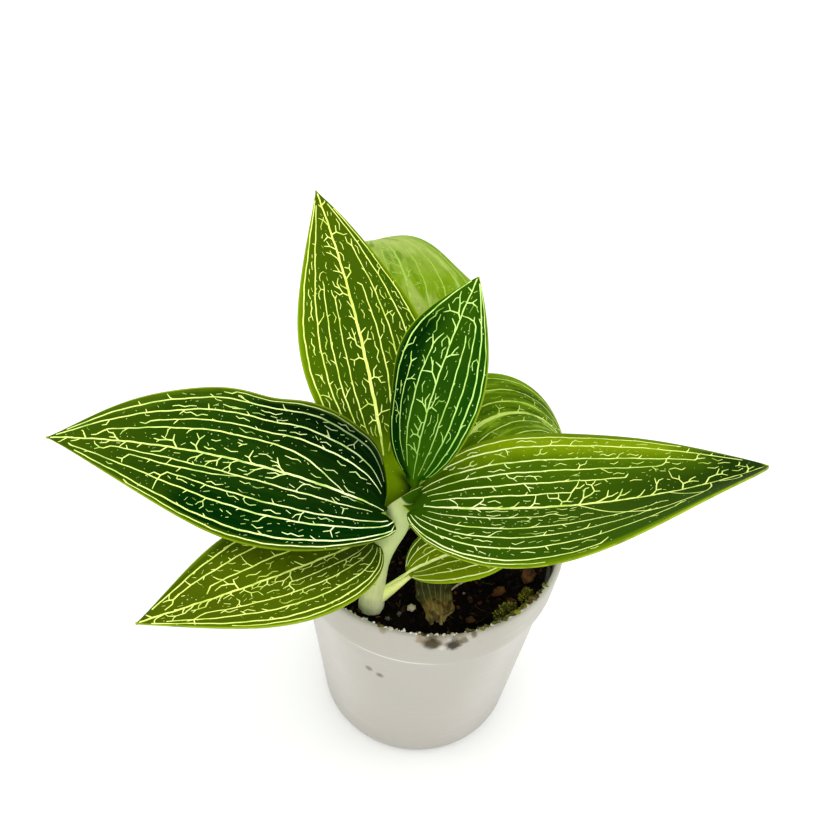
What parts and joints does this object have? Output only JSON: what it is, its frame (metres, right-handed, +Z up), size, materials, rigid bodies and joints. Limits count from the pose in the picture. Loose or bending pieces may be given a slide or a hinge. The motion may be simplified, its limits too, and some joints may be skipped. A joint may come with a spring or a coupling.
{
  "type": "potted jewel orchid",
  "caption": "Young jewel orchid with pointed, pale-veined dark leaves on one fleshy stem, in a small tapered off-white plastic nursery pot of dark soil.",
  "frame": {"origin": "centre of the pot's flat underside", "axes": "+Z up along the pot's axis, -Y to the viewer at the front, +X to the right; the two biggest leaves reach out to -X and +X"},
  "size_m": [0.1469, 0.1253, 0.1256],
  "materials": {
    "pot_plastic": "frosted off-white plastic",
    "soil": "moist dark potting mix",
    "stem": "fleshy, pale mint green",
    "leaf_dark": "soft satin leaf, near black green with pale veins",
    "leaf_mid": "soft satin leaf, mid green with pale veins",
    "leaf_light": "soft satin leaf, sage to yellow-green",
    "root": "dull fleshy root",
    "bark": "rough bark",
    "perlite": "matte white grain",
    "moss": "matte fibrous moss",
    "dried_leaf": "papery, dull"
  },
  "bodies": {
    "root": {"pot": "pot_plastic", "soil": "soil", "stem": "stem", "root_1": "root", "root_2": "root", "root_3": "root", "root_4": "root", "leaf_left_big": "leaf_dark", "leaf_right_big": "leaf_mid", "leaf_upper_left": "leaf_mid", "leaf_centre": "leaf_dark", "leaf_lower_left": "leaf_mid", "leaf_low_small": "leaf_light", "leaf_back": "leaf_light", "leaf_right_back": "leaf_mid", "bark_chip_1": "bark", "bark_chip_2": "bark", "bark_chip_3": "bark", "bark_chip_4": "bark", "bark_chip_5": "bark", "bark_chip_6": "bark", "bark_chip_7": "bark", "bark_chip_8": "bark", "bark_chip_9": "bark", "perlite_1": "perlite", "perlite_2": "perlite", "perlite_3": "perlite", "perlite_4": "perlite", "perlite_5": "perlite", "perlite_6": "perlite", "moss_tuft_1": "moss", "moss_tuft_2": "moss", "moss_tuft_3": "moss", "dried_leaf": "dried_leaf", "dry_thread": "dried_leaf"}
  },
  "joints": []
}
